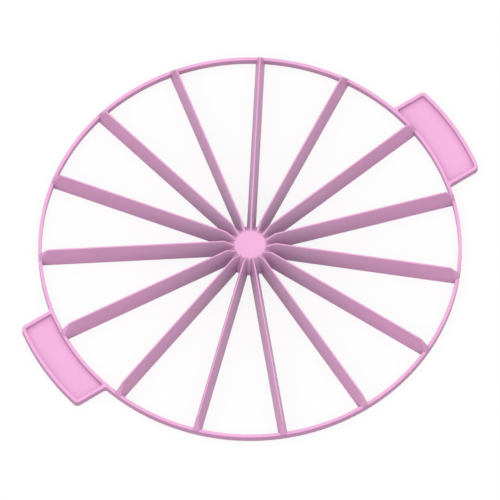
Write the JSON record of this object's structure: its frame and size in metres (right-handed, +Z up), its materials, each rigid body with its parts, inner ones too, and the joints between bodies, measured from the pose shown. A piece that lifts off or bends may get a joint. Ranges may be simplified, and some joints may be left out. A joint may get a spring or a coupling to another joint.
{
  "type": "cake portion marker",
  "caption": "Cake portion marker: a thin ring joined to a hub by wedge-shaped blades, with flat grips outside the ring, pressed onto a round cake to mark equal slices.",
  "frame": {"origin": "centre of the flat underside, on the axis of the ring", "axes": "+Z up, out of the cutting edges; +X through the middle of one grip"},
  "size_m": [0.29, 0.25, 0.015],
  "materials": {
    "plastic": "satin, pale pink"
  },
  "bodies": {
    "root": {"portion_marker": "plastic"}
  },
  "joints": []
}
